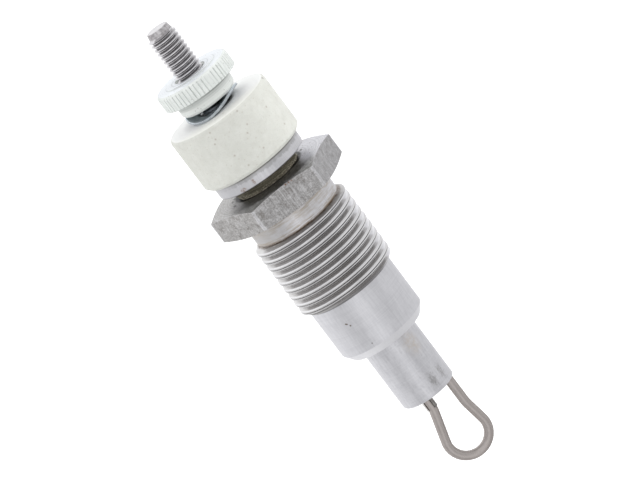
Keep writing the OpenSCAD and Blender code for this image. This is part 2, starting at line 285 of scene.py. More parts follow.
def new_object(name, data):
    made = bpy.data.objects.new(name, data)
    scene.collection.objects.link(made)
    return made


def piece(name, shells, node, material, sharp=40):
    """Object from closed shells, each (rows of points, whether the last row joins the first).

    Edges of at least sharp degrees stay sharp."""
    points, faces, first = [], [], 0
    for rows, wrap in shells:
        points.append(rows.reshape(-1, 3))
        faces.append(grid_faces(rows.shape[0], rows.shape[1], wrap) + first)
        first += rows.shape[0] * rows.shape[1]
    mesh = bpy.data.meshes.new(name)
    mesh.from_pydata((np.concatenate(points) * MM).tolist(), [], np.concatenate(faces).tolist())
    shape = bmesh.new()
    shape.from_mesh(mesh)
    bmesh.ops.remove_doubles(shape, verts=shape.verts[:], dist=2e-7)
    bmesh.ops.recalc_face_normals(shape, faces=shape.faces[:])
    limit = math.radians(sharp)
    for face in shape.faces:
        face.smooth = True
    for edge in shape.edges:
        edge.smooth = edge.calc_face_angle(0.0) < limit
    shape.to_mesh(mesh)
    shape.free()
    mesh.materials.append(material)
    made = new_object(name, mesh)
    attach(made, "root")
    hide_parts(node)


def turned_piece(name, corners, steps, node, material, parts=5):
    """Object from one closed outline of corners (r, z, rounding), turned about the axis."""
    rows = turned(eased(corners, parts=parts), steps)
    piece(name, [(rows, True)], node, material)


# Material helpers


class Nodes:
    """Adds nodes to a tree and sets or links their inputs."""

    def __init__(self, tree):
        self.tree = tree

    def add(self, kind, inputs=(), **settings):
        """New node. inputs has values or sockets by an input's name or number."""
        node = self.tree.nodes.new("ShaderNode" + kind)
        for key, value in settings.items():
            setattr(node, key, value)
        for key, value in dict(inputs).items():
            self.set(node.inputs[key], value)
        return node

    def set(self, socket, value):
        if isinstance(value, bpy.types.NodeSocket):
            self.tree.links.new(value, socket)
        else:
            socket.default_value = value

    def math(self, kind, a, b=0.0):
        return self.add("Math", {0: a, 1: b}, operation=kind).outputs[0]

    def plus(self, a, b):
        return self.math("ADD", a, b)

    def minus(self, a, b):
        return self.math("SUBTRACT", a, b)

    def times(self, a, b):
        return self.math("MULTIPLY", a, b)


class Shader(Nodes):
    """Small builder of a procedural material around one Principled node."""

    def __init__(self, name, metallic, specular=0.5):
        self.material = bpy.data.materials.new(name)
        self.material.use_nodes = True
        super().__init__(self.material.node_tree)
        self.surface = self.tree.nodes["Principled BSDF"]
        self.look("Metallic", metallic)
        self.look("Specular IOR Level", specular)
        self.place = self.add("TexCoord").outputs["Object"]

    def look(self, name, value):
        self.set(self.surface.inputs[name], value)

    def mapped(self, location=(0, 0, 0), scale=(1, 1, 1)):
        """Place on the object, in metres, scaled and then moved."""
        inputs = {"Vector": self.place, "Location": location, "Scale": scale}
        return self.add("Mapping", inputs).outputs["Vector"]

    def length(self, vector):
        return self.add("VectorMath", {0: vector}, operation="LENGTH").outputs["Value"]

    def noise(self, scale, detail=4.0, rough=0.55, twist=0.0, offset=(0, 0, 0)):
        """Noise with a scale per axis, in features per metre."""
        inputs = {"Vector": self.mapped(offset, scale), "Scale": 1.0}
        inputs |= {"Detail": detail, "Roughness": rough, "Distortion": twist}
        return self.add("TexNoise", inputs).outputs["Fac"]

    def rings(self, scale, detail=3.0):
        """Noise that changes with the radius alone, in features per metre."""
        inputs = {"W": self.radius(), "Scale": scale, "Detail": detail}
        return self.add("TexNoise", inputs, noise_dimensions="1D").outputs["Fac"]

    def ramp(self, value, low, high, to_low=0.0, to_high=1.0):
        inputs = {"Value": value, "From Min": low, "From Max": high, "To Min": to_low, "To Max": to_high}
        return self.add("MapRange", inputs, interpolation_type="SMOOTHSTEP").outputs["Result"]

    def paint(self, value):
        """A socket as it is, or a colour with its alpha."""
        return value if isinstance(value, bpy.types.NodeSocket) else (*value, 1.0)

    def mix(self, factor, a, b):
        inputs = {"Factor": factor, 6: self.paint(a), 7: self.paint(b)}
        return self.add("Mix", inputs, data_type="RGBA").outputs[2]

    def near(self, point, size, soft, stretch=(1, 1, 1)):
        """1 within size of a point, 0 beyond size + soft, in millimetres.

        stretch squeezes the distance per axis."""
        location = [-p * MM * s for p, s in zip(point, stretch)]
        distance = self.length(self.mapped(location, stretch))
        return self.ramp(distance, size * MM, (size + soft) * MM, 1.0, 0.0)

    def radius(self):
        """Distance from the axis, in metres."""
        return self.length(self.mapped(scale=(1, 1, 0)))

    def radial(self, low, high, to_low=0.0, to_high=1.0):
        """Ramp between two distances from the axis, in millimetres."""
        return self.ramp(self.radius(), low * MM, high * MM, to_low, to_high)

    def facing(self, axis):
        """Part of the surface normal along one axis, from -1 to 1."""
        normal = self.add("NewGeometry").outputs["True Normal"]
        return self.add("SeparateXYZ", {0: normal}).outputs[axis]

    def specks(self, size, spacing, offset=(0, 0, 0)):
        """1 inside round specks up to a size, about one for each spacing, in millimetres."""
        inputs = {"Vector": self.mapped(offset), "Scale": 1 / (spacing * MM)}
        distance = self.add("TexVoronoi", inputs).outputs["Distance"]
        return self.ramp(distance, 0.5 * size / spacing, size / spacing, 1.0, 0.0)

    def height(self, low, high):
        """0 below the height low, 1 above the height high, in millimetres."""
        z = self.add("SeparateXYZ", {0: self.place}).outputs["Z"]
        return self.ramp(z, low * MM, high * MM)

    def band(self, low, high, soft):
        """1 between two heights, 0 beyond them by soft, in millimetres."""
        above = self.height(low - soft, low)
        return self.times(above, self.minus(1.0, self.height(high, high + soft)))

    def stain(self, color, paint, strength, size, soft, points, stretch=(1, 1, 1)):
        """color with stains of the same size painted at points."""
        for point in points:
            spot = self.near(point, size, soft, stretch)
            color = self.mix(self.times(spot, strength), color, paint)
        return color

    def finish(self, color, rough, relief=None, depth=0.01):
        """The material. depth is the relief's depth in millimetres."""
        self.look("Base Color", self.paint(color))
        self.look("Roughness", rough)
        if relief is not None:
            bump = self.add("Bump", {"Strength": 1.0, "Distance": depth * MM, "Height": relief})
            self.look("Normal", bump.outputs["Normal"])
        return self.material


def turned_steel(name, dark, light, rough):
    """Turned steel with fine lines round the axis, faint blotches and fainter marks along the axis."""
    s = Shader(name, 1.0)
    lines = s.noise((90, 90, 9000), 3.0, 0.6)
    fine = s.noise((150, 150, 26000), 2.0, 0.5)
    blotch = s.noise((420, 420, 420), 4.0, 0.6)
    drag = s.noise((3000, 3000, 300), 4.0, 0.65)
    tone = s.plus(s.times(lines, 0.25), s.times(blotch, 0.35))
    tone = s.plus(tone, s.times(drag, 0.4))
    color = s.mix(s.ramp(tone, 0.34, 0.66), dark, light)
    rough_value = s.ramp(blotch, 0.3, 0.7, rough - 0.05, rough + 0.06)
    relief = s.plus(lines, s.times(fine, 0.6))
    return s, color, rough_value, relief


# Materials of the body


def neck_tones(s, color, stained, lines):
    """Neck: brown lines, painted shade on the left, a deposit below the hexagon, a smear above the thread.
    """
    neck = s.band(thread_high + 0.05, z_hex, 0.05)
    brown = s.ramp(s.plus(stained, s.times(lines, 0.5)), 0.62, 1.0, 0.0, 0.8)
    color = s.mix(s.times(neck, brown), color, (0.46, 0.41, 0.35))
    # Painted shade: the side of the neck that faces left is darker
    painted_shade = s.ramp(s.facing("X"), -0.85, -0.1, 0.75, 0.0)
    color = s.mix(s.times(neck, painted_shade), color, (0.46, 0.452, 0.446))
    deposit = s.times(s.band(z_hex - 0.8, z_hex, 1.2), s.ramp(stained, 0.36, 0.62, 0.2, 0.8))
    color = s.mix(deposit, color, (0.42, 0.37, 0.305))
    smear = s.ramp(s.plus(lines, stained), 0.85, 1.15, 0.0, 0.75)
    smear = s.times(s.band(thread_high, thread_high + 0.5, 0.4), smear)
    return s.mix(smear, color, (0.4, 0.34, 0.27))


def thread_tones(s, stained, lines):
    """Thread: grey flanks, painted shade below and in the lowest turn, painted highlights at sides and
    crests.
    """
    up = s.facing("Z")
    across = s.facing("X")
    # Painted shade: flanks that face down are darker
    flank = s.mix(s.ramp(up, -0.5, 0.1), (0.4, 0.392, 0.39), (0.63, 0.62, 0.615))
    flank = s.mix(s.ramp(lines, 0.35, 0.65, 0.0, 0.3), flank, (0.7, 0.69, 0.685))
    flank = s.mix(s.ramp(stained, 0.55, 0.75, 0.0, 0.35), flank, (0.42, 0.38, 0.34))
    shade = s.times(s.ramp(across, -0.3, 0.0, 0.0, 0.36), s.ramp(across, 0.1, 0.5, 1.0, 0.1))
    flank = s.mix(shade, flank, (0.3, 0.29, 0.285))
    # Painted highlights on the flanks at either side
    flank = s.mix(s.ramp(across, 0.425, 0.455, 0.0, 0.9), flank, (0.93, 0.93, 0.95))
    flank = s.mix(s.ramp(across, -0.475, -0.44, 0.6, 0.0), flank, (0.85, 0.845, 0.84))
    # Painted shade on the lowest turn
    lowest = s.minus(0.6, s.height(thread_low + 0.5, thread_low + 0.9))
    flank = s.mix(lowest, flank, (0.2, 0.195, 0.19))
    # Crests: painted highlights, brighter where they face up and at either side
    lower = s.mix(s.ramp(across, 0.1, 0.4), (0.6, 0.595, 0.595), (0.88, 0.875, 0.875))
    upper = s.mix(s.ramp(across, -0.3, 0.0), (0.86, 0.86, 0.87), (0.76, 0.76, 0.77))
    crest = s.mix(s.ramp(up, 0.02, 0.15), lower, upper)
    return s.mix(s.radial(thread_r - 0.14, thread_r - 0.08), flank, crest)


def body_material():
    """Shank, thread and neck of the body, with a painted highlight on the sealing cone and a rusty line
    above the thread.
    """
    s, color, rough, relief = turned_steel("shank_steel", (0.62, 0.62, 0.645), (0.75, 0.75, 0.775), 0.36)
    stained = s.noise((420, 420, 2600), 5.0, 0.7, 0.3)
    lines = s.noise((60, 60, 5200), 3.0, 0.6)
    # Painted highlight: the sealing cone is paler
    cone = s.minus(0.5, s.times(s.height(-0.1, 0.0), 0.5))
    color = s.mix(cone, color, (0.78, 0.78, 0.795))
    nicks = [(-4.3, -6.6, 5.73), (-4.15, -6.69, 5.62), (-3.81, -6.89, 5.14)]
    color = s.stain(color, (0.14, 0.1, 0.07), 0.9, 0.07, 0.13, nicks)
    color = s.stain(color, (0.2, 0.19, 0.18), 0.8, 0.06, 0.12, [(-2.72, -7.39, 0.74)])
    color = neck_tones(s, color, stained, lines)
    zone = s.band(thread_low + 0.02, thread_high - 0.02, 0.03)
    color = s.mix(zone, color, thread_tones(s, stained, lines))
    rust = s.band(thread_high - 0.08, thread_high + 0.06, 0.22)
    rust = s.times(rust, s.ramp(stained, 0.3, 0.62, 0.15, 0.85))
    color = s.mix(rust, color, (0.14, 0.09, 0.055))
    return s.finish(color, rough, relief, 0.004)


def hexagon_sides(s, draw, pits, mottle):
    """Sides of the hexagon: pitted and mottled, with patches of dark and bright streaks along the axis."""
    streak = s.noise((2900, 2900, 60), 3.0, 0.6, 0.0, (2, 1, 0))
    patch = s.noise((230, 230, 230), 2.0, 0.5, 0.0, (0.3, 0.6, 0.2))
    front = s.facing("Y")
    across = s.facing("X")
    tone = s.plus(s.times(draw, 0.25), s.times(pits, 0.75))
    # Painted shade: the faces towards the front are darker
    light = s.mix(s.ramp(front, -0.95, -0.6), (0.53, 0.523, 0.52), (0.57, 0.56, 0.55))
    dark = s.mix(s.ramp(front, -0.95, -0.6), (0.29, 0.283, 0.28), (0.34, 0.332, 0.325))
    color = s.mix(s.ramp(tone, 0.36, 0.64), dark, light)
    # Painted light: the faces on the right are pulled to one set tone, with fewer blots
    color = s.mix(s.ramp(across, 0.3, 0.7, 0.0, 0.4), color, (0.46, 0.46, 0.485))
    blots = s.times(s.ramp(mottle, 0.5, 0.63, 0.0, 0.75), s.ramp(across, 0.3, 0.7, 1.0, 0.45))
    color = s.mix(blots, color, (0.24, 0.225, 0.21))
    color = s.mix(s.ramp(mottle, 0.36, 0.48, 0.5, 0.0), color, (0.64, 0.635, 0.64))
    lined = s.times(s.ramp(patch, 0.42, 0.6), s.ramp(front, -0.95, -0.8, 1.0, 0.3))
    color = s.mix(s.times(lined, s.ramp(streak, 0.52, 0.62, 0.0, 0.5)), color, (0.22, 0.215, 0.21))
    return s.mix(s.times(lined, s.ramp(streak, 0.36, 0.46, 0.45, 0.0)), color, (0.66, 0.66, 0.67))


def hexagon_top(s, pits, mottle):
    """Top of the hexagon: turned grain, a painted highlight on the right, dark specks and painted shade at
    the front.
    """
    turning = s.plus(s.times(s.rings(3500), 0.4), s.times(mottle, 0.6))
    grain = s.mix(s.ramp(pits, 0.36, 0.64), (0.34, 0.332, 0.32), (0.54, 0.532, 0.518))
    grain = s.mix(s.ramp(turning, 0.45, 0.62, 0.0, 0.6), grain, (0.7, 0.7, 0.715))
    # Painted highlight on the right side of the top
    bright = s.mix(s.ramp(turning, 0.4, 0.6), (0.6, 0.6, 0.63), (0.76, 0.76, 0.79))
    grain = s.mix(s.near((9.5, -1.0, z_mica), 3.0, 3.5, (1, 0.6, 0)), grain, bright)
    side = s.noise((70, 70, 70), 2.0, 0.5, 0.0, (0.4, 0, 0))
    specks = s.times(s.specks(0.16, 0.8), s.ramp(side, 0.4, 0.6, 0.2, 0.9))
    grain = s.mix(specks, grain, (0.16, 0.15, 0.14))
    # Painted shade: a dark patch at the front of the top
    smear = s.near((-1.5, -8.6, z_mica), 2.2, 3.2, (0.42, 1, 0))
    smear = s.times(smear, s.ramp(turning, 0.3, 0.7, 0.9, 0.4))
    grain = s.mix(smear, grain, (0.2, 0.195, 0.19))
    spots = [(-7.05, 0.7), (-7.13, -2.48), (-6.5, 1.65), (6.38, 2.9)]
    spots += [(6.86, 1.33), (7.5, 5.46), (6.2, -0.25)]
    points = [(x, y, z_mica) for x, y in spots]
    return s.stain(grain, (0.1, 0.095, 0.09), 0.8, 0.1, 0.28, points, (1, 0.45, 0))


def hexagon_material():
    """Drawn sides, a turned top, painted shadow round the mica washer, painted edge highlights, a little
    rust at the front.
    """
    s = Shader("hexagon_steel", 1.0)
    draw = s.noise((2600, 2600, 110), 4.0, 0.65)
    pits = s.noise((4200, 4200, 4200), 4.0, 0.65)
    mottle = s.noise((1000, 1000, 1000), 6.0, 0.75, 0.3)
    up = s.facing("Z")
    sides = hexagon_sides(s, draw, pits, mottle)
    color = s.mix(s.ramp(up, 0.9, 0.95), sides, hexagon_top(s, pits, mottle))
    # Painted shadow round the mica washer, weaker at the front
    mica_shadow = s.times(s.radial(6.3, 6.8, 0.97, 0.0), s.ramp(mottle, 0.2, 0.5, 0.8, 1.0))
    front = s.near((0, -6.3, z_mica), 3.2, 1.8, (1, 1, 0))
    mica_shadow = s.times(mica_shadow, s.ramp(front, 0.0, 1.0, 1.0, 0.35))
    color = s.mix(mica_shadow, color, (0.03, 0.028, 0.025))
    # Painted highlights on the eased top edges and on the corners
    edge = s.times(s.ramp(up, 0.1, 0.25, 0.0, 0.3), s.ramp(up, 0.9, 0.95, 1.0, 0.0))
    corner = s.times(s.radial(11.92, 11.98), s.ramp(mottle, 0.35, 0.6, 0.95, 0.55))
    edge_highlight = s.times(s.math("MAXIMUM", edge, corner), s.ramp(pits, 0.3, 0.55, 0.6, 1.0))
    color = s.mix(edge_highlight, color, (0.7, 0.7, 0.715))
    rust = [(2.1, -10.5, 31.3), (2.65, -10.5, 31.28), (1.5, -10.5, 31.32)]
    color = s.stain(color, (0.2, 0.11, 0.07), 0.9, 0.08, 0.2, rust)
    return s.finish(color, s.ramp(mottle, 0.3, 0.7, 0.36, 0.5), s.plus(draw, pits), 0.01)


# Materials of the other pieces


def pole_material():
    """Outer pole, mottled, with a tarnished patch and two dark smudges near its end."""
    s, color, rough, relief = turned_steel("pole_steel", (0.6, 0.6, 0.625), (0.73, 0.73, 0.755), 0.34)
    smear = s.noise((2600, 2600, 1700), 6.0, 0.8, 0.6)
    first = s.near((1.6, -4.68, -11.3), 0.0, 1.5, (1, 1, 0.5))
    second = s.near((3.45, -3.55, -11.0), 0.0, 1.5, (1, 1, 0.45))
    smudge = s.plus(s.math("MAXIMUM", first, s.times(second, 0.85)), s.times(smear, 3.2))
    color = s.mix(s.ramp(smudge, 1.9, 2.9, 0.0, 0.8), color, (0.3, 0.295, 0.29))
    mottle = s.noise((1500, 1500, 1100), 5.0, 0.7)
    color = s.mix(s.ramp(mottle, 0.5, 0.68, 0.0, 0.4), color, (0.5, 0.5, 0.52))
    tarnish = s.near((2.44, -4.31, -4.0), 0.2, 2.0, (1, 1, 0.7))
    tarnish = s.times(tarnish, s.ramp(smear, 0.38, 0.6, 0.1, 0.6))
    color = s.mix(tarnish, color, (0.58, 0.51, 0.43))
    return s.finish(color, rough, relief, 0.003)


def ring_material():
    """Contact ring, painted shade below the ceramic (partly dirt) and on its left, with two brown stains at
    the front.
    """
    s, color, rough, relief = turned_steel("ring_steel", (0.58, 0.58, 0.6), (0.72, 0.72, 0.74), 0.34)
    smear = s.noise((900, 900, 300), 4.0, 0.65)
    # Painted shadow below the ceramic, partly dirt, with a ragged lower edge
    edge = s.plus(s.height(z_ceramic - 1.3, z_ceramic - 0.6), s.ramp(smear, 0.3, 0.7, -0.6, 0.3))
    color = s.mix(s.ramp(edge, 0.2, 0.8, 0.0, 0.75), color, (0.43, 0.428, 0.43))
    # Painted shadow line just below the ceramic
    color = s.mix(s.height(z_ceramic - 0.5, z_ceramic - 0.2), color, (0.22, 0.215, 0.205))
    color = s.mix(s.ramp(smear, 0.62, 0.74, 0.0, 0.5), color, (0.42, 0.41, 0.4))
    # Painted shade on the side that faces left
    color = s.mix(s.ramp(s.facing("X"), -0.85, -0.4, 0.7, 0.0), color, (0.5, 0.5, 0.515))
    wide = s.near((-4.37, -6.85, 33.8), 0.15, 0.5, (0.8, 0.8, 1.2))
    tall = s.near((-2.28, -7.8, 34.2), 0.08, 0.3, (1, 1, 0.55))
    broken = s.ramp(s.noise((3200, 3200, 3200), 3.0, 0.6), 0.4, 0.56, 0.1, 0.95)
    stains = s.times(s.math("MAXIMUM", wide, tall), broken)
    color = s.mix(stains, color, (0.3, 0.2, 0.15))
    return s.finish(color, rough, relief, 0.003)


def mica_material():
    """Laminated mica with pale chips along its lower edge and painted shade at either side."""
    s = Shader("mica", 0.0, 0.4)
    layers = s.noise((260, 260, 5200), 4.0, 0.65)
    flecks = s.noise((2400, 2400, 5000), 4.0, 0.6)
    color = s.mix(s.ramp(layers, 0.35, 0.65), (0.115, 0.104, 0.074), (0.25, 0.229, 0.17))
    color = s.mix(s.ramp(flecks, 0.6, 0.75), color, (0.29, 0.272, 0.205))
    chips = s.times(s.band(z_mica, z_mica + 0.45, 0.2), s.ramp(flecks, 0.5, 0.61, 0.0, 0.85))
    color = s.mix(chips, color, (0.5, 0.463, 0.372))
    # Painted shade on the sides that face left and right
    side = s.ramp(s.math("ABSOLUTE", s.facing("X")), 0.82, 0.96, 0.0, 0.9)
    color = s.mix(side, color, (0.02, 0.018, 0.015))
    return s.finish(color, s.ramp(flecks, 0.3, 0.7, 0.5, 0.8), s.plus(layers, flecks), 0.05)


def inner_mica_material():
    s = Shader("inner_mica", 0.0, 0.4)
    layers = s.noise((1200, 1200, 300), 4.0, 0.6)
    color = s.mix(s.ramp(layers, 0.35, 0.65), (0.2, 0.17, 0.11), (0.34, 0.3, 0.2))
    return s.finish(color, s.ramp(layers, 0.3, 0.7, 0.5, 0.7), layers, 0.03)


def inner_ceramic_material():
    s = Shader("inner_ceramic", 0.0, 0.4)
    grain = s.noise((4000, 4000, 4000), 4.0, 0.6)
    color = s.mix(s.ramp(grain, 0.35, 0.65), (0.62, 0.6, 0.52), (0.76, 0.74, 0.66))
    return s.finish(color, s.ramp(grain, 0.3, 0.7, 0.55, 0.75), grain, 0.02)


def stud_material():
    """Dark stud: painted shade on flanks and under the nut, painted highlights on crests, roots, sides, a
    lighter tip.
    """
    s = Shader("stud_steel", 1.0)
    lines = s.noise((700, 700, 9000), 4.0, 0.6)
    blotch = s.noise((1700, 1700, 1700), 4.0, 0.65)
    up = s.facing("Z")
    across = s.math("ABSOLUTE", s.facing("X"))
    # Painted shade: flanks that face down are darker
    flank = s.mix(s.ramp(up, -0.5, 0.2), (0.125, 0.12, 0.125), (0.345, 0.333, 0.343))
    flank = s.mix(s.ramp(lines, 0.45, 0.65, 0.0, 0.5), flank, (0.56, 0.55, 0.56))
    flank = s.mix(s.ramp(blotch, 0.55, 0.7, 0.0, 0.5), flank, (0.26, 0.225, 0.21))
    # Painted highlight in the thread's roots
    flank = s.mix(s.radial(2.03, 2.08, 0.7, 0.0), flank, (0.62, 0.61, 0.62))
    # Painted highlights on the flanks at either side
    flank = s.mix(s.ramp(across, 0.455, 0.485, 0.0, 0.8), flank, (0.86, 0.85, 0.87))
    # Crests: painted highlights, brightest at either side
    crest = s.mix(s.ramp(across, 0.86, 0.96), (0.76, 0.75, 0.765), (0.93, 0.925, 0.94))
    color = s.mix(s.radial(2.43, 2.475), flank, crest)
    blank = s.mix(s.ramp(blotch, 0.36, 0.6), (0.68, 0.665, 0.675), (0.4, 0.382, 0.39))
    blank = s.mix(s.ramp(blotch, 0.64, 0.72), blank, (0.16, 0.14, 0.14))
    color = s.mix(s.height(z_tip - 1.05, z_tip - 0.98), color, blank)
    face = s.mix(s.ramp(blotch, 0.3, 0.7), (0.83, 0.825, 0.835), (0.72, 0.71, 0.72))
    color = s.mix(s.ramp(up, 0.8, 0.95), color, face)
    # Painted shade under the nut, with a painted reflection of the blue-grey washer at its foot
    shaded = s.mix(s.height(z_washer + 0.5, z_nut - 0.5), (0.34, 0.37, 0.4), (0.03, 0.03, 0.03))
    color = s.mix(s.height(z_nut - 0.1, z_nut), shaded, color)
    return s.finish(color, s.ramp(lines, 0.3, 0.7, 0.34, 0.46), s.plus(lines, blotch), 0.008)


def ferrule_material():
    """Dark crimped steel, with painted light beside the left edge of the slot."""
    s = Shader("ferrule_steel", 1.0)
    grain = s.noise((1800, 1800, 1800), 4.0, 0.6)
    color = s.mix(s.ramp(grain, 0.35, 0.65), (0.24, 0.23, 0.22), (0.38, 0.366, 0.35))
    # Painted light on the strip beside the left edge of the slot
    left = s.near((inner_x - 1.2, -0.6, 0), 0.75, 0.35, (1, 1, 0))
    bright = s.mix(s.ramp(s.facing("X"), 0.0, 0.5), (0.74, 0.72, 0.7), (0.95, 0.94, 0.92))
    color = s.mix(left, color, bright)
    return s.finish(color, s.ramp(grain, 0.3, 0.7, 0.42, 0.58), grain, 0.01)


def wire_material():
    """Drawn heater wire with a thin brownish oxide, and painted shade where it faces down."""
    s = Shader("heater_wire", 1.0)
    s.look("Specular Tint", (0.4, 0.38, 0.37, 1.0))
    grain = s.noise((5000, 5000, 1500), 3.0, 0.6)
    blotch = s.noise((500, 500, 500), 3.0, 0.6)
    tone = s.plus(s.times(grain, 0.5), s.times(blotch, 0.5))
    color = s.mix(s.ramp(tone, 0.35, 0.65), (0.43, 0.392, 0.374), (0.49, 0.452, 0.432))
    # Painted shade on the parts that face down
    color = s.mix(s.ramp(s.facing("Z"), -0.7, 0.1, 0.55, 0.0), color, (0.34, 0.305, 0.29))
    return s.finish(color, s.ramp(blotch, 0.3, 0.7, 0.24, 0.32), grain, 0.004)


def ceramic_top(s, color):
    """Top of the ceramic: painted light, paler towards the back and near the washer, and painted shade in
    the bore.
    """
    # Painted light on the top face, strongest at the back and near the washer
    back = s.near((0, 9, z_washer), 11.5, 5.0, (0.5, 1, 0))
    far = s.mix(s.radial(5.6, 8.4), (0.97, 0.975, 0.97), (0.8, 0.806, 0.8))
    top = s.mix(back, (0.75, 0.754, 0.714), far)
    color = s.mix(s.ramp(s.facing("Z"), 0.84, 0.995, 0.0, 0.9), color, top)
    # Painted shade in the bore
    return s.mix(s.radial(3.0, 3.8, 0.95, 0.0), color, (0.1, 0.1, 0.095))


def ceramic_material():
    """Unglazed ceramic with fine grain, many small specks and a few brown marks."""
    s = Shader("ceramic", 0.0, 0.35)
    grain = s.noise((3600, 3600, 3600), 5.0, 0.7)
    cloud = s.noise((330, 330, 330), 4.0, 0.6)
    mottle = s.noise((950, 950, 950), 5.0, 0.7)
    color = s.mix(s.ramp(cloud, 0.3, 0.7), (0.565, 0.572, 0.53), (0.6, 0.607, 0.565))
    color = s.mix(s.ramp(mottle, 0.46, 0.66, 0.0, 0.55), color, (0.53, 0.532, 0.488))
    color = s.mix(s.ramp(mottle, 0.34, 0.46, 0.4, 0.0), color, (0.63, 0.636, 0.6))
    color = s.mix(s.ramp(grain, 0.52, 0.7, 0.0, 0.3), color, (0.5, 0.49, 0.44))
    color = s.mix(s.times(s.specks(0.16, 0.9), 0.3), color, (0.38, 0.33, 0.27))
    color = s.mix(s.times(s.specks(0.12, 0.5, (0.3, 0.1, 0.7)), 0.25), color, (0.42, 0.42, 0.39))
    color = ceramic_top(s, color)
    marks = [(-3.08, -8.78, 43.71), (-3.63, -8.56, 43.08), (1.61, -9.16, 41.51), (7.26, -5.82, 38.27)]
    marks += [(2.25, -9.02, 37.95), (-1.33, -9.2, 37.18), (2.41, -8.98, 42.62), (6.54, -6.61, 42.5)]
    marks += [(-3.16, -8.75, 45.1), (2.41, -8.98, 45.33), (-2.2, -9.04, 39.76), (0.4, -6.4, z_washer)]
    color = s.stain(color, (0.3, 0.25, 0.2), 0.55, 0.05, 0.2, marks)
    color = s.stain(color, (0.24, 0.23, 0.21), 0.7, 0.08, 0.24, [(8.8, -2.2, 45.6)], (1, 0.5, 1))
    pitted = s.plus(grain, s.times(cloud, 1.5))
    pitted = s.minus(pitted, s.specks(0.2, 1.1, (0.9, 0.2, 0.4)))
    return s.finish(color, s.ramp(grain, 0.3, 0.7, 0.55, 0.7), pitted, 0.02)


def washer_material():
    """Blue zinc plating, the upward face painted lighter, the rim painted darker, and painted shade towards
    the bore.
    """
    s = Shader("washer_zinc", 1.0)
    grain = s.noise((2500, 2500, 2500), 4.0, 0.6)
    rim = s.mix(s.ramp(grain, 0.35, 0.65), (0.4, 0.44, 0.47), (0.56, 0.6, 0.63))
    face = s.mix(s.ramp(grain, 0.35, 0.65), (0.76, 0.83, 0.88), (0.88, 0.94, 0.98))
    # Painted shade towards the bore
    face = s.mix(s.radial(2.8, 3.5, 0.9, 0.0), face, (0.2, 0.22, 0.24))
    # Painted light and shade: the upward face is lighter than the rim
    color = s.mix(s.ramp(s.facing("Z"), 0.3, 0.7), rim, face)
    return s.finish(color, s.ramp(grain, 0.3, 0.7, 0.38, 0.52), grain, 0.006)


def nut_collar(s):
    """Collar of the nut: painted shade below the head, with turning marks."""
    turning = s.noise((40, 40, 2600), 3.0, 0.6)
    # Painted shade below the head; the turning marks are laid over it
    painted_shade = s.mix(s.height(z_nut + 1.0, z_head - 0.1), (0.72, 0.745, 0.72), (0.22, 0.24, 0.225))
    painted_shade = s.mix(s.ramp(turning, 0.42, 0.58, 0.0, 0.45), painted_shade, (0.78, 0.8, 0.78))
    return s.mix(s.ramp(turning, 0.34, 0.44, 0.4, 0.0), painted_shade, (0.4, 0.42, 0.4))


def nut_face(s):
    """Top face of the nut: fine turned waves, two dark rings and two wide ones at the front alone, all
    painted shade.
    """
    wave = s.math("SINE", s.times(s.radius(), math.tau / (0.42 * MM)))
    face = s.mix(s.ramp(wave, 0.2, 1.0, 0.0, 0.4), (0.79, 0.82, 0.845), (0.64, 0.67, 0.69))
    front = s.times(s.near((-0.6, -3.7, z_stud), 1.2, 1.0, (0.5, 1, 0)), 0.75)
    # Painted shade of small steps: two thin rings all round and two wide ones at the front
    for r, soft, strength in ((3.6, 0.14, 0.45), (4.8, 0.14, 0.4), (3.2, 0.4, front), (4.5, 0.4, front)):
        ring = s.times(s.radial(r - soft, r), s.radial(r, r + soft, 1.0, 0.0))
        face = s.mix(s.times(ring, strength), face, (0.34, 0.36, 0.38))
    return face


def nut_material():
    """Pale zinc plating, a bluish top painted lighter, painted shade on the collar and in the knurl's
    grooves, small specks.
    """
    s = Shader("nut_zinc", 0.35)
    grain = s.noise((5200, 5200, 5200), 5.0, 0.65)
    cloud = s.noise((500, 500, 500), 3.0, 0.6)
    up = s.facing("Z")
    color = s.mix(s.ramp(cloud, 0.3, 0.7), (0.69, 0.72, 0.695), (0.76, 0.79, 0.765))
    color = s.mix(s.minus(1.0, s.height(z_head, z_head + 0.1)), color, nut_collar(s))
    # Painted shade in the knurl's grooves
    groove = s.radial(nut_head_r - 0.12, nut_head_r - 0.02, 1.0, 0.0)
    groove = s.times(groove, s.radial(nut_top_r, nut_top_r + 0.05))
    groove = s.times(groove, s.ramp(up, 0.2, 0.5, 1.0, 0.0))
    groove = s.times(groove, s.ramp(cloud, 0.35, 0.65, 0.1, 0.5))
    color = s.mix(groove, color, (0.45, 0.47, 0.45))
    # Painted light: the top face is lighter, with its own bluish tint
    color = s.mix(s.ramp(up, 0.75, 0.95), color, nut_face(s))
    color = s.mix(s.times(s.specks(0.14, 0.75), 0.6), color, (0.36, 0.36, 0.34))
    return s.finish(color, s.ramp(grain, 0.3, 0.7, 0.42, 0.56), grain, 0.006)


body_steel = body_material()
hex_steel = hexagon_material()
pole_steel = pole_material()
ring_steel = ring_material()
mica = mica_material()
inner_mica = inner_mica_material()
inner_ceramic = inner_ceramic_material()
stud_steel = stud_material()
ferrule_steel = ferrule_material()
heater_wire = wire_material()
ceramic = ceramic_material()
washer_zinc = washer_material()
nut_zinc = nut_material()


# Body


def thread_limit(z):
    """Largest radius of the engine thread at a height, where it runs in and out."""
    heights = [thread_low, thread_low + 0.9, thread_high - 0.5, thread_high]
    return np.interp(z, heights, [shank_r, thread_r + 0.1, thread_r + 0.1, neck_r])


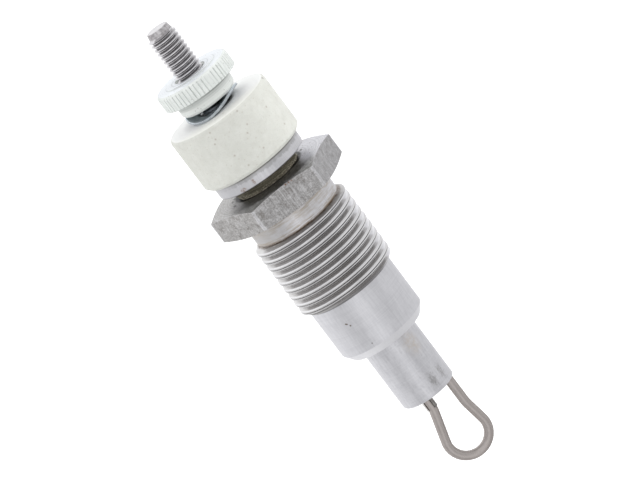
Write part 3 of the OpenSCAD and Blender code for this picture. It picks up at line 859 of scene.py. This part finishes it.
def body_shank():
    """Body below the hexagon: neck, thread, shank, sealing cone and bores."""
    steps = 256
    corners = [
        (counterbore_r, z_step, 0),
        (counterbore_r, z_mouth, 0.08),
        (cone_small_r, z_mouth, 0.12),
        (shank_r, 0, 0.12),
        (shank_r, thread_low, 0),
    ]
    lower = eased(corners, wrap=False)
    seam = [
        (thread_r, seam_z - seam_width / 2, 0),
        (thread_r - seam_depth, seam_z, 0),
        (thread_r, seam_z + seam_width / 2, 0),
    ]
    wave = thread_wave(thread_r, thread_pitch, thread_depth, thread_crest, 0.1, (0.12, 0.25), seam)
    thread = helix_rows(wave, thread_pitch, thread_low, thread_high, thread_phase, thread_limit, steps)
    fillet = [
        (neck_r + neck_round * (1 - math.cos(t)), z_hex - neck_round * (1 - math.sin(t)))
        for t in np.linspace(0, math.pi / 2, 7)
    ]
    z_inside = z_hex + 0.2
    upper = [
        (neck_r, thread_high),
        *fillet,
        (neck_r + neck_round, z_inside),
        (body_bore_r, z_inside),
        (body_bore_r, z_step),
    ]
    rows = np.concatenate([turned(lower, steps), thread, turned(upper, steps)])
    piece("body_shank", [(rows, True)], "plug_body", body_steel, 50)


def direction(angle):
    return np.array((math.cos(angle), math.sin(angle)))


def hexagon_outline():
    """(x, y) points round the hexagon: at each corner an arc, then points along the side that follows."""
    sixth = math.pi / 3
    centre_r = (hex_af / 2 - hex_corner_r) / math.cos(sixth / 2)
    outline = []
    for k in range(6):
        around = hex_turn + k * sixth
        for t in np.linspace(-sixth / 2, sixth / 2, 9):
            outline.append(centre_r * direction(around) + hex_corner_r * direction(around + t))
        following = hex_turn + (k + 1) * sixth
        start = outline[-1]
        end = centre_r * direction(following) + hex_corner_r * direction(following - sixth / 2)
        for t in np.linspace(0, 1, 26)[1:-1]:
            outline.append(start * (1 - t) + end * t)
    return [*outline, outline[0]]


def body_hexagon():
    """Hexagon with eased corners and turned chamfers."""
    flat_r = hex_af / 2 - hex_flat_edge
    columns = []
    for x, y in hexagon_outline():
        r = math.hypot(x, y)
        drop = (r - flat_r) * math.tan(hex_chamfer)
        corners = [
            (body_bore_r, z_hex, 0),
            (flat_r, z_hex, 0.3),
            (r, z_hex + drop, 0.1),
            (r, z_mica - drop, 0.1),
            (flat_r, z_mica, 0.3),
            (body_bore_r, z_mica, 0),
        ]
        columns.append(around_axis(*eased(corners).T, math.atan2(y, x)))
    piece("body_hexagon", [(np.stack(columns, 1), True)], "plug_body", hex_steel, 50)


body_shank()
body_hexagon()

# Outer pole
pole_corners = [
    (tube_bore_r, z_tube, 0.1),
    (tube_r, z_tube, 0.35),
    (tube_r, z_flange, 0),
    (flange_r, z_flange, 0),
    (flange_r, z_flange_top, 0),
    (stem_r, z_flange_top, 0),
    (stem_r, z_ceramic, 0),
    (stem_bore_r, z_ceramic, 0),
    (stem_bore_r, z_seat, 0),
    (tube_bore_r, z_seat, 0),
]
turned_piece("pole_tube_turned", pole_corners, 160, "pole_tube", pole_steel)

# Contact ring
ring_corners = [
    (ring_bore_r, z_ring, 0),
    (ring_r, z_ring, 0.2),
    (ring_r, z_ceramic, 0.2),
    (ring_bore_r, z_ceramic, 0),
]
turned_piece("contact_ring_turned", ring_corners, 192, "contact_ring", ring_steel)


# Mica washer


def leaf_edge(angle):
    """Radius round the ragged edge of one leaf."""
    wave = np.zeros_like(angle)
    for count, size in ((2, 0.05), (5, 0.05), (9, 0.035), (17, 0.03), (31, 0.02)):
        wave += size * np.cos(count * angle + rng.uniform(0, 6.28))
    return mica_r - 0.05 + rng.uniform(-0.12, 0.05) + wave


def mica_leaves():
    """Washer that is split into uneven leaves, each with broken edges."""
    angle = np.linspace(0, math.tau, 241)
    leaf_h = (z_ring - z_mica) / leaf_count
    rows = [around_axis(ring_bore_r, z_mica, angle)]
    for k in range(leaf_count):
        edge = leaf_edge(angle)
        for share, inset in ((0.06, 0.07), (0.5, 0.0), (0.94, 0.07)):
            rows.append(around_axis(edge - inset, z_mica + (k + share) * leaf_h, angle))
    rows[1][:, 2] = z_mica
    rows[-1][:, 2] = z_ring
    rows.append(around_axis(ring_bore_r, z_ring, angle))
    piece("mica_leaves", [(np.stack(rows), True)], "ring_mica_washer", mica, 60)


mica_leaves()


# Centre electrode


def stud_limit(z):
    """Largest radius of the stud at a height: thread, taper and blank tip with a broken edge."""
    heights = [z_thread, z_thread + 0.01, z_tip - 1.5, z_tip - tip_h, z_tip - tip_edge, z_tip]
    radii = [stud_root_r, stud_r + 0.1, stud_r + 0.1, tip_r + 0.2, tip_r + 0.02, tip_r - tip_edge]
    return np.interp(z, heights, radii)


def terminal_stud():
    """Rod, collar, terminal thread and blank tip, with the spigot that meets the heater wire."""
    steps = 128
    lower = [
        (0, z_rod),
        (rod_r, z_rod),
        (rod_r, z_collar),
        (collar_r, z_collar),
        (collar_r, z_collar_top),
        (stud_plain_r, z_collar_top),
        (stud_plain_r, z_thread),
        (stud_root_r, z_thread),
    ]
    wave = thread_wave(stud_r, stud_pitch, stud_depth, stud_crest, 0.05, (0.06, 0.06))
    thread = helix_rows(wave, stud_pitch, z_thread, z_tip, stud_phase, stud_limit, steps)
    upper = [(tip_r - tip_edge, z_tip), (0.8, z_tip), (0, z_tip)]
    rows = np.concatenate([turned(lower, steps), thread, turned(upper, steps)])
    low, high = z_rod - spigot_h, z_rod + 0.1
    spigot = turned([(0, low), (wire_r, low), (wire_r, high), (0, high)], 48)
    spigot[:, :, 0] += inner_x
    shells = [(rows, False), (spigot, False)]
    piece("terminal_stud", shells, "centre_electrode", stud_steel, 50)


terminal_stud()


# Knurled nut


def ridge_starts():
    """Angles at which the ridges of the knurl start, for ridges of uneven width."""
    widths = 1 + rng.uniform(-ridge_uneven, ridge_uneven, ridge_count)
    starts = np.concatenate([[0.0], np.cumsum(widths)])
    return math.tau * starts / starts[-1]


def nut_corners(r):
    """Corners (r, z, rounding) of the nut where its knurl has radius r."""
    return [
        (nut_bore_r, z_nut, 0),
        (nut_foot_r, z_nut, 0.1),
        (nut_collar_r, z_nut + nut_foot_h, 0.2),
        (nut_collar_r, z_head, 0.3),
        (r, z_head, 0.1),
        (r, z_face - (r - nut_top_r), 0.08),
        (nut_top_r, z_face, 0.06),
        (nut_face_r, z_face, 0.03),
        (nut_face_r, z_stud, 0.05),
        (nut_mouth_r, z_stud, 0.05),
        (nut_bore_r, z_stud - nut_mouth_h, 0),
    ]


def nut_knurled():
    """Nut with flat-topped ridges of uneven width and grooves of uneven depth."""
    starts = ridge_starts()
    columns = []
    for k in range(ridge_count):
        deep = rng.uniform(groove_shallow, groove_deep)
        for share, groove in ridge_shape:
            around = starts[k] + share * (starts[k + 1] - starts[k])
            corners = nut_corners(nut_head_r - deep * groove)
            columns.append(around_axis(*eased(corners).T, around))
    columns.append(columns[0])
    piece("nut_knurled", [(np.stack(columns, 1), True)], "knurled_nut", nut_zinc, 35)


nut_knurled()

# Ceramic insulator
ceramic_corners = [
    (ceramic_hollow_r, z_ceramic, 0),
    (ceramic_r - ceramic_edge, z_ceramic, 0.2),
    (ceramic_r, z_ceramic + ceramic_edge, 0.4),
    (ceramic_r, z_washer, 0.6),
    (ceramic_bore_r, z_washer, 0.15),
    (ceramic_bore_r, z_ceramic + ceramic_hollow_h, 0),
    (ceramic_hollow_r, z_ceramic + ceramic_hollow_h, 0),
]
turned_piece("ceramic_bush", ceramic_corners, 192, "ceramic_insulator", ceramic, parts=9)


# Spring washer


def washer_curved():
    """Flat ring that is bent about a line across its middle until it meets the foot of the nut."""
    rise = z_nut - z_washer - washer_t - seat_gap
    bend_r = (nut_foot_r**2 + rise**2) / (2 * rise) + washer_t
    corners = [
        (washer_inner_r, 0, 0.08),
        (washer_outer_r, 0, 0.12),
        (washer_outer_r, washer_t, 0.12),
        (washer_inner_r, washer_t, 0.08),
    ]
    section = eased(corners)
    section = np.concatenate([section, [section[0]]])
    cos_turn, sin_turn = direction(washer_turn)
    rows = []
    for around in np.linspace(0, math.tau, 161)[:-1]:
        across = section[:, 0] * math.cos(around)
        along = section[:, 0] * math.sin(around)
        lean = np.arcsin(across / bend_r)
        radius = bend_r - section[:, 1]
        x = radius * np.sin(lean)
        z = z_washer + bend_r - radius * np.cos(lean)
        rows.append(np.stack([x * cos_turn - along * sin_turn, x * sin_turn + along * cos_turn, z], -1))
    piece("washer_curved", [(np.stack(rows), True)], "spring_washer", washer_zinc)


washer_curved()


# Heater loop


def bend_height(bulge, lean, bend):
    """Height at which the straight leg ends and its bend of radius bend starts."""
    corner = (bulge - loop_r * (1 - math.cos(lean))) / math.sin(lean)
    return loop_z + loop_r * math.sin(lean) + corner * math.cos(lean) + bend * math.tan(lean / 2)


def arc_path(x, z, r, angles, turn=0.0):
    """(x, z, angle across the wire) along an arc about (x, z)."""
    return [(x + r * math.cos(t), z + r * math.sin(t), t + turn) for t in angles]


def loop_path():
    """Middle of the wire: one large arc, on either side a leaning stretch, a bend and a leg."""
    z_left = bend_height(bulge_left, lean_left, bend_left)
    z_right = bend_height(bulge_right, lean_right, bend_right)
    z_start = z_rod - spigot_h - seat_gap
    bend_in = np.linspace(0, -lean_left, 8)
    loop = np.linspace(math.pi - lean_left, math.tau + lean_right, 72)
    bend_out = np.linspace(lean_right + math.pi, math.pi, 8)[:-1]
    path = [(inner_x, z, math.pi) for z in np.linspace(z_start, z_left, 12)[:-1]]
    path += arc_path(inner_x - bend_left, z_left, bend_left, bend_in, math.pi)
    path += arc_path(loop_x, loop_z, loop_r, loop)
    path += arc_path(leg_x + bend_right, z_right, bend_right, bend_out, math.pi)
    path += [(leg_x, z, math.tau) for z in np.linspace(z_right, z_tube + leg_depth, 12)]
    return path


def heater_wire_loop():
    """Round wire along its path, with flat ends."""
    path = loop_path()
    around = np.linspace(0, math.tau, 41)
    away = wire_r * np.cos(around)
    side = wire_r * np.sin(around)
    rows = []
    for x, z, out in path:
        rows.append(np.stack([x + away * math.cos(out), side, z + away * math.sin(out)], -1))
    start, end = [np.repeat([[x, 0, z]], len(around), 0) for x, z, out in (path[0], path[-1])]
    shells = [(np.stack([start, *rows, end]), False)]
    piece("heater_wire_loop", shells, "heater_loop", heater_wire)


heater_wire_loop()


# Split ferrule


def ferrule_arc(r):
    """(x, y) points at radius r from one edge of the slot round to the other."""
    opening = math.asin(ferrule_slot_half / r)
    around = np.linspace(opening, math.tau - opening, 49)
    return [r * direction(ferrule_slot_turn + t) for t in around]


def ferrule_split():
    """Sleeve on the inner leg with a slot along its front and an eased lower end."""
    loop = [*ferrule_arc(ferrule_out_r), *reversed(ferrule_arc(ferrule_in_r))]
    loop = np.array([*loop, loop[0]])
    middle = loop / np.linalg.norm(loop, axis=1)[:, None] * (ferrule_in_r + ferrule_out_r) / 2
    levels = [(z_ferrule, 0.0), (z_ferrule, 0.75), (z_ferrule + 0.05, 1.0), (z_rod, 1.0), (z_rod, 0.0)]
    rows = []
    for z, swell in levels:
        ring = middle * (1 - swell) + loop * swell
        rows.append(np.stack([ring[:, 0] + inner_x, ring[:, 1], np.full(len(ring), z)], -1))
    piece("ferrule_split", [(np.stack(rows), False)], "heater_ferrule", ferrule_steel)


ferrule_split()

# Materials of the CAD nodes that stay
for material, names in (
    (inner_mica, ("body_sleeve", "flange_seal", "electrode_sleeve")),
    (inner_ceramic, ("body_lower_bush", "electrode_lower_bush", "electrode_upper_bush", "end_bush")),
    (pole_steel, ("gland_nut",)),
):
    for name in names:
        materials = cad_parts[name].data.materials
        materials.clear()
        materials.append(material)


# Stage, in metres


def floor_material():
    s = Shader("floor", 0.0, 0.0)
    cloud = s.noise((3, 3, 3), 2.0, 0.5)
    s.look("Emission Color", (1.0, 1.0, 1.0, 1.0))
    s.look("Emission Strength", 0.25)
    return s.finish(s.mix(s.ramp(cloud, 0.3, 0.7), (0.93, 0.93, 0.93), (0.95, 0.95, 0.95)), 1.0)


def pale_floor(half, z):
    """Square floor that the metal doesn't reflect."""
    mesh = bpy.data.meshes.new("floor")
    corners = [(-half, -half, z), (half, -half, z), (half, half, z), (-half, half, z)]
    mesh.from_pydata(corners, [], [(0, 1, 2, 3)])
    mesh.materials.append(floor_material())
    floor = new_object("floor", mesh)
    floor.visible_glossy = False


def level_ramp(n, share, levels):
    """Colour that runs through (degrees, level) stops as share goes from 0 at -180 to 1 at 180 degrees."""
    ramp = n.add("ValToRGB", {"Fac": share})
    ramp.color_ramp.interpolation = "EASE"
    stops = ramp.color_ramp.elements
    while len(stops) > 1:
        stops.remove(stops[-1])
    for k, (degrees, level) in enumerate(levels):
        position = (degrees + 180) / 360
        stop = stops[0] if k == 0 else stops.new(position)
        stop.position = position
        stop.color = (level, level, level * 1.01, 1.0)
    return ramp.outputs["Color"]


def studio_world(levels, strength):
    """Even studio light with a level for each direction round the object. The camera sees plain white."""
    world = bpy.data.worlds.new("studio")
    scene.world = world
    world.use_nodes = True
    world.node_tree.nodes.clear()
    n = Nodes(world.node_tree)
    toward = n.add("SeparateXYZ", {0: n.add("TexCoord").outputs["Generated"]}).outputs
    azimuth = n.math("ARCTAN2", toward["X"], n.times(toward["Y"], -1.0))
    share = n.add("MapRange", {"Value": azimuth, "From Min": -math.pi, "From Max": math.pi})
    color = level_ramp(n, share.outputs["Result"], levels)
    light = n.add("Background", {"Color": color, "Strength": strength})
    plain = n.add("Background", {"Color": (1.0, 1.0, 1.0, 1.0)})
    seen = n.add("LightPath").outputs["Is Camera Ray"]
    choose = n.add("MixShader", {"Fac": seen, 1: light.outputs[0], 2: plain.outputs[0]})
    n.add("OutputWorld", {"Surface": choose.outputs[0]})


def area_light(name, position, size, power):
    """Square light that points at the body and that the metal doesn't reflect."""
    data = bpy.data.lights.new(name, "AREA")
    data.shape = "RECTANGLE"
    data.size = size
    data.size_y = size
    data.energy = power
    lamp = new_object(name, data)
    lamp.location = position
    lamp.rotation_mode = "QUATERNION"
    lamp.rotation_quaternion = (light_aim - Vector(position)).to_track_quat("-Z", "Y")
    lamp.visible_glossy = False


def photo_camera(target, distance, elevation, roll):
    """Camera at the photograph's view."""
    back = Vector((0, -math.cos(elevation), math.sin(elevation)))
    level = Vector((1, 0, 0))
    upright = back.cross(level)
    right = math.cos(roll) * level - math.sin(roll) * upright
    up = math.sin(roll) * level + math.cos(roll) * upright
    data = bpy.data.cameras.new("camera")
    data.sensor_width = 36.0
    data.lens = 277.0
    data.clip_start = 0.05
    data.clip_end = 50.0
    camera = new_object("camera", data)
    camera.matrix_world = Matrix((right, up, back)).transposed().to_4x4()
    camera.location = target + back * distance
    scene.camera = camera


light_aim = Vector((0, 0, 0.02))
# Light levels by direction, in degrees from the front towards the right
light_levels = [(-180, 1.1), (-130, 1.12), (-90, 0.97), (-50, 0.74), (-8, 1.04)]
light_levels += [(34, 0.74), (60, 0.84), (120, 0.86), (180, 1.1)]
pale_floor(5.0, -0.16)
studio_world(light_levels, 0.95)
area_light("right_box", (1.1, -0.1, 0.55), 0.8, 5.8)
area_light("left_box", (-1.1, -0.1, 0.6), 0.8, 2.4)
area_light("top_box", (0, 0.1, 1.2), 0.6, 4.5)
photo_camera(Vector((0.58, 0, 17.86)) * MM, 0.8, math.radians(14.5), math.radians(36.97))
scene.view_settings.view_transform = "Standard"
scene.view_settings.look = "None"
